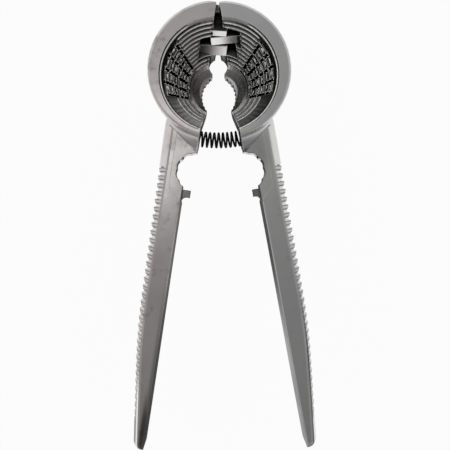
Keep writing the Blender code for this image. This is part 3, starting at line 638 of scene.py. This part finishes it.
def arm_metal(casting):
    """Bare die-cast metal, worn bright on its edges, with painted highlights, and painted shade inside
    the funnel and on its split face.
    """
    material, tree, shader = new_material(casting.metal_name)
    place = place_on_object(tree)
    arm = arm_measures(tree, casting.side, place)
    on = arm_zones(tree, casting, arm)
    clouds = noise(tree, place, **CLOUDS)
    edges = step(tree, shelter(tree, EDGE_REACH, inside=True), *EDGE_RANGE)
    wear_and_highlight = wear_and_highlights(tree, casting, on, edges)
    finger_shade = product(tree, on.fingers, on.third_finger_left, FINGER_SHADE)
    # Painted shade darkening the handle towards its tip, kept off the tip's painted highlight
    tip_shade_tone = step(tree, arm["down"], TIP_DARK_FROM, TIP_DARK_TO, 1.0, casting.tip_shade_tone)
    tip_shade_tone = strongest(tree, tip_shade_tone, getattr(on, casting.highlighted_tip_part))

    tone = cast_tone(tree, casting, place, clouds)
    tone = tarnished_tone(tree, casting, arm, on, tone)
    # Painted shade in creases and deep pockets, which in the creases also stands for grime
    tone = mixed(tree, 1.0, tone, unshaded_share(tree, on), "MULTIPLY")
    # Rubbed edges and crests, and painted highlights on the fingers, the lip and the tip
    tone = mixed(tree, wear_and_highlight, tone, BRIGHT_METAL)
    tone = mixed(tree, finger_shade, tone, FINGER_SHADE_COLOUR)
    # Painted shade lines along edges, and painted shade on the handle's inner edge
    tone = mixed(tree, edge_shade_lines(tree, casting, on, edges), tone, SHADE_LINE_COLOUR)
    tone = mixed(tree, 1.0, tone, tip_shade_tone, "MULTIPLY")

    # Painted shade on the grazing reflections, through the specular tint
    tint = mixed(tree, reflection_shade(tree, casting, on, wear_and_highlight), CLEAR_TINT, SHADED_REFLECTION_TINT)
    put(tree, tint, shader.inputs["Specular Tint"])
    roughness = step(tree, clouds, *GLOSS_RANGE, *CAST_ROUGHNESS)
    roughness = maths(tree, "ADD", roughness, product(tree, on.split, SPLIT_ROUGHENING))
    coat(tree, shader, tone, roughness, cast_surface(tree, place, arm, on))
    return material


def polished_metal(name, speck_tone, roughness):
    """The castings' metal where nuts and hands rub it bright, with a few dark specks left."""
    material, tree, shader = new_material(name)
    place = place_on_object(tree)
    specks = step(tree, noise(tree, place, **BEAD_SPECKS), *BEAD_SPECK_RANGE)
    tone = mixed(tree, specks, BRIGHT_METAL, (speck_tone, speck_tone, speck_tone))
    grain = noise(tree, place, **BEAD_GRAIN)
    surface = relief(tree, grain, below=surface_normal(tree), **GRAIN_RELIEF)
    roughness = graded(tree, specks, roughness, roughness + SPECK_ROUGHENING)
    coat(tree, shader, tone, roughness, surface)
    return material


def rivet_metal():
    """Plain steel, turned: fine rings round the rivet's axis, and a few dark specks."""
    material, tree, shader = new_material("rivet_metal")
    place = place_on_object(tree)
    from_axis = in_plan(tree, vector_maths(tree, "SUBTRACT", place, tuple(RIVET)))
    radius = vector_maths(tree, "LENGTH", from_axis)
    rings = maths(tree, "SINE", product(tree, radius, 2 * math.pi / RIVET_RING_PITCH))
    specks = step(tree, noise(tree, place, **RIVET_SPECKS), *RIVET_SPECK_RANGE)
    tone = mixed(tree, specks, RIVET_COLOUR, RIVET_SPECK_COLOUR)
    surface = relief(tree, rings, below=surface_normal(tree), **RIVET_RING_RELIEF)
    coat(tree, shader, tone, graded(tree, specks, *RIVET_ROUGHNESS), surface)
    return material


def spring_wire_metal():
    """Oil-blackened drawn wire, rubbed a little lighter in specks."""
    material, tree, shader = new_material("spring_wire")
    place = place_on_object(tree)
    marks = noise(tree, place, **WIRE_MARKS)
    tone = mixed(tree, step(tree, marks, *WIRE_MARK_RANGE), WIRE_COLOUR, WIRE_RUBBED_COLOUR)
    roughness = step(tree, marks, *WIRE_GLOSS_RANGE, *WIRE_ROUGHNESS)
    grain = noise(tree, place, **WIRE_GRAIN)
    surface = relief(tree, grain, below=surface_normal(tree), **WIRE_GRAIN_RELIEF)
    put(tree, WIRE_TINT, shader.inputs["Specular Tint"])
    coat(tree, shader, tone, roughness, surface, WIRE_METALLIC)
    return material


def new_growth(name, sizes, result, given=None):
    """A Geometry Nodes tree, with a geometry to start from if it has one, its sizes and its result."""
    tree = bpy.data.node_groups.new(name, "GeometryNodeTree")
    if given:
        tree.interface.new_socket(given, in_out="INPUT", socket_type="NodeSocketGeometry")
    for size_name, value in sizes.items():
        socket = tree.interface.new_socket(size_name, in_out="INPUT", socket_type="NodeSocketFloat")
        socket.default_value = value
    tree.interface.new_socket(result, in_out="OUTPUT", socket_type="NodeSocketGeometry")
    return tree, node(tree, "NodeGroupInput").outputs


def sweep(tree, curve, sides, radius, scale, material, result):
    """Ends a tree with a smooth round wire along a curve, closed at its ends and in its material."""
    ring = node(tree, "GeometryNodeCurvePrimitiveCircle", Resolution=sides, Radius=radius).outputs[0]
    wire = node(tree, "GeometryNodeCurveToMesh", Curve=curve, Profile_Curve=ring, Scale=scale)
    put(tree, True, wire.inputs["Fill Caps"])
    smooth = node(tree, "GeometryNodeSetShadeSmooth", Geometry=wire.outputs[0])
    real = node(tree, "GeometryNodeRealizeInstances", Geometry=smooth.outputs[0])
    coated = node(tree, "GeometryNodeSetMaterial", Geometry=real.outputs[0], Material=material)
    put(tree, coated.outputs[0], node(tree, "NodeGroupOutput").inputs[result])


def along_bent_line(tree, given, share, end):
    """How far the line has turned about the rivet at a point, and how far it runs straight past that."""
    bend = product(tree, given["Line radius"], given["Half opening"])
    half_coil = maths(tree, "SUBTRACT", maths(tree, "ADD", bend, given["Seat"]), given["Tail"])
    from_middle = product(tree, half_coil, maths(tree, "SUBTRACT", product(tree, share, 2.0), 1.0))
    travelled = maths(tree, "ADD", from_middle, product(tree, end, given["Tail"]))
    most = given["Half opening"]
    least = product(tree, most, -1.0)
    turn = maths(tree, "DIVIDE", travelled, given["Line radius"])
    turn = maths(tree, "MINIMUM", maths(tree, "MAXIMUM", turn, least), most)
    past = maths(tree, "SUBTRACT", travelled, product(tree, turn, given["Line radius"]))
    return turn, past


def coiled_wire(sizes, material):
    """A tree that coils a wire about a line, bent about the rivet and straight in the two pockets."""
    tree, given = new_growth("coiled_wire", sizes, "Wire")
    steps = maths(tree, "ROUND", product(tree, given["Turns"], given["Points per turn"]))
    index = node(tree, "GeometryNodeInputIndex").outputs[0]
    place = maths(tree, "DIVIDE", maths(tree, "SUBTRACT", index, 1.0), steps)
    share = maths(tree, "MINIMUM", maths(tree, "MAXIMUM", place, 0.0), 1.0)
    end = maths(tree, "SIGN", maths(tree, "SUBTRACT", place, share))
    turn, past = along_bent_line(tree, given, share, end)

    coil_angle = maths(tree, "ADD", product(tree, share, given["Turns"], 2 * math.pi), given["Start"])
    reach = product(tree, given["Coil radius"], maths(tree, "COSINE", coil_angle))
    reach = maths(tree, "ADD", reach, given["Line radius"])
    cos, sin = maths(tree, "COSINE", turn), maths(tree, "SINE", turn)
    x = maths(tree, "ADD", product(tree, reach, sin), product(tree, past, cos))
    y = maths(tree, "SUBTRACT", product(tree, past, sin), product(tree, reach, cos))
    z = product(tree, given["Coil radius"], maths(tree, "SINE", coil_angle))
    centre = node(tree, "ShaderNodeCombineXYZ", X=x, Y=y, Z=z).outputs[0]

    line = node(tree, "GeometryNodeMeshLine", Count=maths(tree, "ADD", steps, 3.0))
    laid = node(tree, "GeometryNodeSetPosition", Geometry=line.outputs[0], Position=centre)
    curve = node(tree, "GeometryNodeMeshToCurve", Mesh=laid.outputs[0]).outputs[0]
    sweep(tree, curve, WIRE_SIDES, given["Wire radius"], 1.0, material, "Wire")
    return tree


def laid_beads(sizes, material):
    """A tree that lays a rounded bead along each arc of the cone that a point of its mesh describes."""
    tree, given = new_growth("laid_beads", sizes, "Beads", given="Arcs")
    arc = {}
    for name in ARC_VALUES:
        named = node(tree, "GeometryNodeInputNamedAttribute", {"data_type": "FLOAT"}, Name=name)
        arc[name] = named.outputs["Attribute"]
    copies = node(tree, "GeometryNodeDuplicateElements", {"domain": "POINT"}, Geometry=given["Arcs"])
    put(tree, given["Points per arc"], copies.inputs["Amount"])
    order = copies.outputs["Duplicate Index"]
    share = maths(tree, "DIVIDE", order, maths(tree, "SUBTRACT", given["Points per arc"], 1.0))
    from_middle = maths(tree, "ABSOLUTE", maths(tree, "SUBTRACT", product(tree, share, 2.0), 1.0))

    angle = maths(tree, "SUBTRACT", arc["last"], arc["first"])
    angle = maths(tree, "ADD", arc["first"], product(tree, angle, share))
    lift = product(tree, arc["arch"], rest_of(tree, product(tree, from_middle, from_middle)))
    radius = maths(tree, "ADD", arc["radius"], product(tree, lift, given["Cone slope"]))
    x = product(tree, radius, maths(tree, "SINE", angle), given["Side"])
    y = product(tree, radius, maths(tree, "COSINE", angle))
    z = maths(tree, "SUBTRACT", lift, arc["depth"])
    place = node(tree, "ShaderNodeCombineXYZ", X=x, Y=y, Z=z).outputs[0]
    laid = node(tree, "GeometryNodeSetPosition", Geometry=copies.outputs[0], Position=place)
    points = node(tree, "GeometryNodeMeshToPoints", Mesh=laid.outputs[0])
    curves = node(tree, "GeometryNodePointsToCurves", Points=points.outputs[0], Weight=order)
    put(tree, arc["number"], curves.inputs["Curve Group ID"])

    rounded = rest_of(tree, maths(tree, "POWER", from_middle, arc["bluntness"]))
    rounded = maths(tree, "MAXIMUM", maths(tree, "SQRT", rounded), BEAD_END_SHARE)
    thickness = product(tree, rounded, arc["thickness"])
    sweep(tree, curves.outputs[0], BEAD_SIDES, 1.0, thickness, material, "Beads")
    return tree


def linked(name, data):
    """A new object in the scene."""
    made = bpy.data.objects.new(name, data)
    bpy.context.scene.collection.objects.link(made)
    return made


def grow(name, tree, sizes, place, start=None):
    """Runs a Geometry Nodes tree and keeps its result as a plain mesh, moved to its place."""
    scratch = linked(name + "_scratch", start or bpy.data.meshes.new(name + "_scratch"))
    modifier = scratch.modifiers.new(name, "NODES")
    modifier.node_group = tree
    for socket in tree.interface.items_tree:
        if socket.in_out == "INPUT" and socket.name in sizes:
            modifier[socket.identifier] = sizes[socket.name]
    graph = bpy.context.evaluated_depsgraph_get()
    mesh = bpy.data.meshes.new_from_object(scratch.evaluated_get(graph))
    bpy.data.objects.remove(scratch)
    mesh.name = name
    mesh.transform(Matrix.Translation(place))
    return linked(name, mesh)


def finished_piece(name, shape, material):
    """Keeps a closed bmesh as an object, with its faces turned outwards."""
    bmesh.ops.recalc_face_normals(shape, faces=shape.faces)
    mesh = bpy.data.meshes.new(name)
    shape.to_mesh(mesh)
    shape.free()
    mesh.materials.append(material)
    return linked(name, mesh)


def crest(step_number):
    """Radius and depth of the cone at a ring's crest."""
    share = step_number / RING_STEPS
    radius = FIRST_CREST_RADIUS + (LAST_CREST_RADIUS - FIRST_CREST_RADIUS) * share
    depth = FIRST_CREST_DEPTH + (LAST_CREST_DEPTH - FIRST_CREST_DEPTH) * share
    return radius, depth


def ring_start(side, depth):
    """How far from the split plane a ring starts at a depth."""
    left_start, right_start = next(row[1:] for row in RING_STARTS if depth <= row[0])
    return left_start if side < 0 else right_start


def split_angle(radius, across):
    """The angle from the hinge at which a ring comes as near to the split plane as across."""
    cos, sin = math.cos(HALF_OPENING), math.sin(HALF_OPENING)
    middle_across = CAVITY_ACROSS * cos - CAVITY_DOWN * sin
    return math.asin((across - middle_across) / radius) - HALF_OPENING


def end_angle(radius):
    """The angle at which a ring ends beside the gap between the arms."""
    return math.pi - 2 * HALF_OPENING - split_angle(radius, RING_END_ACROSS)


def long_bead(radius, depth, first, last, thickness=BEAD_THICKNESS):
    """An even bead along a ring, from one angle to another."""
    return {
        "radius": radius,
        "depth": depth,
        "first": first,
        "last": last,
        "arch": 0.0,
        "thickness": thickness,
        "bluntness": CREST_BLUNTNESS,
    }


def ring_arcs(side):
    """The beads along the rings' crests, on both sides of the teeth, and the one along the lip."""
    arcs = []
    for number in range(RING_STEPS + 1):
        radius, depth = crest(number)
        first = split_angle(radius, ring_start(side, depth))
        arcs.append(long_bead(radius, depth, first, TOOTH_FROM - TOOTH_GROOVE_SPAN))
        if number >= OUTER_RINGS and number % 2 == 0:
            arcs.append(long_bead(radius, depth, TOOTH_TO + TOOTH_GROOVE_SPAN, end_angle(radius)))
    lip_end = end_angle(LIP_BEAD_RADIUS)
    arcs.append(long_bead(LIP_BEAD_RADIUS, LIP_BEAD_DEPTH, LIP_BEAD_FROM, lip_end, LIP_BEAD_THICKNESS))
    return arcs


def tooth_arc(uneven, place, angle, size):
    """A tooth: a short arched bead on the cone, of uneven place, span and height."""
    radius, depth = crest(place * RING_STEPS / TEETH_PER_ROW)
    middle = angle + math.radians(uneven.uniform(-TOOTH_WANDER_DEGREES, TOOTH_WANDER_DEGREES))
    half_span = size * TOOTH_HALF_SPAN * uneven.uniform(*TOOTH_SPAN_RANGE)
    return {
        "radius": radius,
        "depth": depth,
        "first": middle - half_span,
        "last": middle + half_span,
        "arch": size * TOOTH_ARCH * uneven.uniform(*TOOTH_HEIGHT_RANGE),
        "thickness": size * TOOTH_THICKNESS * uneven.uniform(*TOOTH_HEIGHT_RANGE),
        "bluntness": TOOTH_BLUNTNESS,
    }


def tooth_arcs(side):
    """The rows of teeth between the grooves, and fewer and smaller ones across them."""
    uneven = random.Random(TOOTH_SEED + side)
    half_pitch = (TOOTH_TO - TOOTH_FROM) / (TOOTH_GROOVES - 1) / 2
    arcs = []
    for row in range(2 * TOOTH_GROOVES - 1):
        across_groove = row % 2 == 0
        size = GROOVE_TOOTH_SIZE if across_groove else 1.0
        slide = uneven.uniform(-ROW_SLIDE, ROW_SLIDE)
        for number in range(TEETH_PER_ROW):
            if across_groove and uneven.random() > GROOVE_TOOTH_SHARE:
                continue
            place = number + ROW_START + size / 2 + slide
            arcs.append(tooth_arc(uneven, place, TOOTH_FROM + half_pitch * row, size))
    return arcs


def arc_mesh(name, arcs):
    """A mesh of loose points, one for each arc, which carry the arcs' values as attributes."""
    mesh = bpy.data.meshes.new(name)
    mesh.from_pydata([(0.0, 0.0, 0.0)] * len(arcs), [], [])
    for value_name in ARC_VALUES:
        if value_name == "number":
            values = list(range(len(arcs)))
        else:
            values = [arc[value_name] for arc in arcs]
        mesh.attributes.new(value_name, "FLOAT", "POINT").data.foreach_set("value", values)
    return mesh


def make_beads(casting, part, arcs, points_per_arc, material):
    """Lays the beads of one kind in an arm's half of the funnel."""
    name = f"{casting.body}_{part}"
    sizes = {
        "Points per arc": float(points_per_arc),
        "Cone slope": (FIRST_CREST_RADIUS - LAST_CREST_RADIUS) / (LAST_CREST_DEPTH - FIRST_CREST_DEPTH),
        "Side": float(casting.side),
    }
    place = Vector((casting.side * CAVITY_ACROSS, RIVET.y - CAVITY_DOWN, RIM_HEIGHT))
    beads = grow(name, laid_beads(sizes, material), sizes, place, arc_mesh(name, arcs))
    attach(beads, casting.body)


def fillet_section(width):
    """The fillet's outline, as (out from the rim, depth): its hollow front, and its back and foot."""
    drop = FRONT_DEPTH - FILLET_PROUD - FILLET_TOP_DEPTH
    section = [(-FILLET_BACK, FILLET_TOP_DEPTH)]
    for i in range(FILLET_STEPS + 1):
        turn = math.pi / 2 * i / FILLET_STEPS
        section.append((width * (1 - math.cos(turn)), FILLET_TOP_DEPTH + drop * math.sin(turn)))
    section += [(width, FRONT_DEPTH + FILLET_FOOT), (-FILLET_BACK, FRONT_DEPTH + FILLET_FOOT)]
    return section


def fillet_ring(casting, share):
    """The places of one section of the fillet, at a share of the way from the split face to its end."""
    cos, sin = math.cos(HALF_OPENING), math.sin(HALF_OPENING)
    rim_across, rim_down = casting.rim_place
    middle_across = rim_across * cos - rim_down * sin
    middle_down = rim_down * cos + rim_across * sin
    first = math.asin((FILLET_START_ACROSS - middle_across) / RIM_RADIUS)
    last = math.asin((FILLET_END_ACROSS - middle_across) / RIM_RADIUS)
    angle = first + (last - first) * share
    width = FILLET_WIDTH + (FILLET_END_WIDTH - FILLET_WIDTH) * math.sin(share * math.pi / 2)
    places = []
    for out, depth in fillet_section(width):
        across = middle_across + (RIM_RADIUS + out) * math.sin(angle)
        down = middle_down + (RIM_RADIUS + out) * math.cos(angle)
        x = casting.side * (across * cos + down * sin)
        y = RIVET.y - (down * cos - across * sin)
        places.append((x, y, RIM_HEIGHT - depth))
    return places


def make_fillet(casting, material):
    """The hollow fillet between the rim's underside and the arm's front, widest at the split face."""
    shape = bmesh.new()
    rings = []
    for i in range(FILLET_STEPS + 1):
        rings.append([shape.verts.new(place) for place in fillet_ring(casting, i / FILLET_STEPS)])
    for ring, following in zip(rings, rings[1:]):
        for i in range(len(ring)):
            j = (i + 1) % len(ring)
            shape.faces.new((ring[i], ring[j], following[j], following[i]))
    shape.faces.new(rings[0])
    shape.faces.new(rings[-1])
    fillet = finished_piece(casting.body + "_rim_fillet", shape, material)
    fillet.data.shade_smooth()
    fillet.data.set_sharp_from_angle(angle=FILLET_SHARP)
    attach(fillet, casting.body)


def make_heel(casting, material):
    """The low web of the left casting that closes the slit behind the rivet, clear of the right one."""
    shape = bmesh.new()
    for depth in HEEL_DEPTHS:
        for x, y in HEEL_OUTLINE:
            shape.verts.new((x, RIVET.y + y, RIM_HEIGHT - depth))
    bmesh.ops.convex_hull(shape, input=shape.verts)
    heel = finished_piece("slit_heel", shape, material)
    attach(heel, casting.body)


def make_spring():
    """The return spring, in place of its plainer solid."""
    sizes = {
        "Line radius": SPRING_DOWN,
        "Half opening": HALF_OPENING,
        "Seat": SPRING_SEAT,
        "Tail": SPRING_TAIL,
        "Coil radius": SPRING_RADIUS,
        "Wire radius": SPRING_WIRE / 2,
        "Turns": SPRING_TURNS,
        "Start": SPRING_START,
        "Points per turn": float(SPRING_POINTS_PER_TURN),
    }
    place = Vector((RIVET.x, RIVET.y, RIM_HEIGHT - SPRING_DEPTH))
    spring = grow("coil_spring", coiled_wire(sizes, spring_wire_metal()), sizes, place)
    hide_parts("return_spring")
    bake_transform(spring)


def floor_material():
    """White to the camera and in reflections, with the object's soft shadow kept."""
    material, tree, shader = new_material("white_floor")
    put(tree, FLOOR_COLOUR, shader.inputs["Base Color"])
    put(tree, FLOOR_ROUGHNESS, shader.inputs["Roughness"])
    path = node(tree, "ShaderNodeLightPath").outputs
    seen = strongest(tree, path["Is Camera Ray"], path["Is Glossy Ray"], path["Is Transmission Ray"])
    share = product(tree, seen, FLOOR_GLOW)
    glow = node(tree, "ShaderNodeEmission", Strength=1.0)
    mix = node(tree, "ShaderNodeMixShader")
    for socket, value in zip(mix.inputs, (share, shader.outputs[0], glow.outputs[0])):
        put(tree, value, socket)
    put(tree, mix.outputs[0], tree.nodes["Material Output"].inputs["Surface"])
    return material


def make_floor():
    """The white floor that the part lies on, which belongs to the stage."""
    mesh = bpy.data.meshes.new("floor")
    corners = [(x * FLOOR_REACH, y * FLOOR_REACH, 0.0) for x, y in ((-1, -1), (1, -1), (1, 1), (-1, 1))]
    mesh.from_pydata(corners, [], [(0, 1, 2, 3)])
    mesh.materials.append(floor_material())
    linked("floor", mesh)


def light_world():
    """White behind the object; in reflections white at the horizon and dim above the camera."""
    world = bpy.data.worlds.new("studio")
    bpy.context.scene.world = world
    world.use_nodes = True
    tree = world.node_tree
    direction = node(tree, "ShaderNodeTexCoord").outputs["Generated"]
    height = vector_maths(tree, "DOT_PRODUCT", direction, tuple(DIM_WAY.normalized()))
    dome = node(tree, "ShaderNodeValToRGB", Fac=height)
    dome.color_ramp.elements.new(DIM_FROM)
    for element, (position, tone) in zip(dome.color_ramp.elements, SKY_TONES):
        element.position = position
        element.color = (tone, tone, tone, 1.0)
    path = node(tree, "ShaderNodeLightPath")
    colour = mixed(tree, path.outputs["Is Camera Ray"], dome.outputs["Color"], (1.0, 1.0, 1.0))
    put(tree, colour, tree.nodes["Background"].inputs["Color"])


def add_lamp():
    """A small soft lamp high beside the camera."""
    lamp = bpy.data.lights.new("lamp_beside_camera", "AREA")
    lamp.shape = "RECTANGLE"
    lamp.size = LAMP_SIZE
    lamp.size_y = LAMP_SIZE
    lamp.energy = LAMP_POWER
    stand = linked("lamp_beside_camera", lamp)
    stand.location = LAMP_PLACE
    stand.rotation_euler = (LAMP_AIM - LAMP_PLACE).to_track_quat("-Z", "Y").to_euler()


def add_camera():
    """Straight above the rim, slightly rolled, with the lens's middle where the photograph has it."""
    camera = bpy.data.cameras.new("camera")
    camera.sensor_width = SENSOR_WIDTH
    camera.lens = SENSOR_WIDTH * CAMERA_ABOVE_RIM / (IMAGE_SIZE * METRES_PER_PIXEL)
    camera.shift_x = (IMAGE_SIZE / 2 - LENS_PIXEL.x) / IMAGE_SIZE
    camera.clip_start = CAMERA_CLIP
    across, down = (LENS_PIXEL - RIVET_PIXEL) * METRES_PER_PIXEL
    place = RIVET + Matrix.Rotation(CAMERA_ROLL, 3, "Z") @ Vector((across, -down, 0.0))
    stand = linked("camera", camera)
    stand.location = (place.x, place.y, RIM_HEIGHT + CAMERA_ABOVE_RIM)
    stand.rotation_euler = (0.0, 0.0, CAMERA_ROLL)
    bpy.context.scene.camera = stand


def dress(name, material):
    """Gives a CAD node its finished material."""
    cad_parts[name].material_slots[0].material = material


bpy.context.scene.view_settings.view_transform = "Standard"
light_world()
make_floor()
add_camera()
add_lamp()

metals = {casting.body: arm_metal(casting) for casting in (LEFT, RIGHT)}
crest_metal = polished_metal(**CREST_FINISH)
tooth_metal = polished_metal(**TOOTH_FINISH)
dress("hinge_pin", rivet_metal())
for casting in (LEFT, RIGHT):
    dress(casting.body, metals[casting.body])
    make_beads(casting, "ring_crests", ring_arcs(casting.side), CREST_POINTS, crest_metal)
    make_beads(casting, "teeth", tooth_arcs(casting.side), TOOTH_POINTS, tooth_metal)
    make_fillet(casting, metals[casting.body])
make_heel(LEFT, metals["left_arm"])
make_spring()
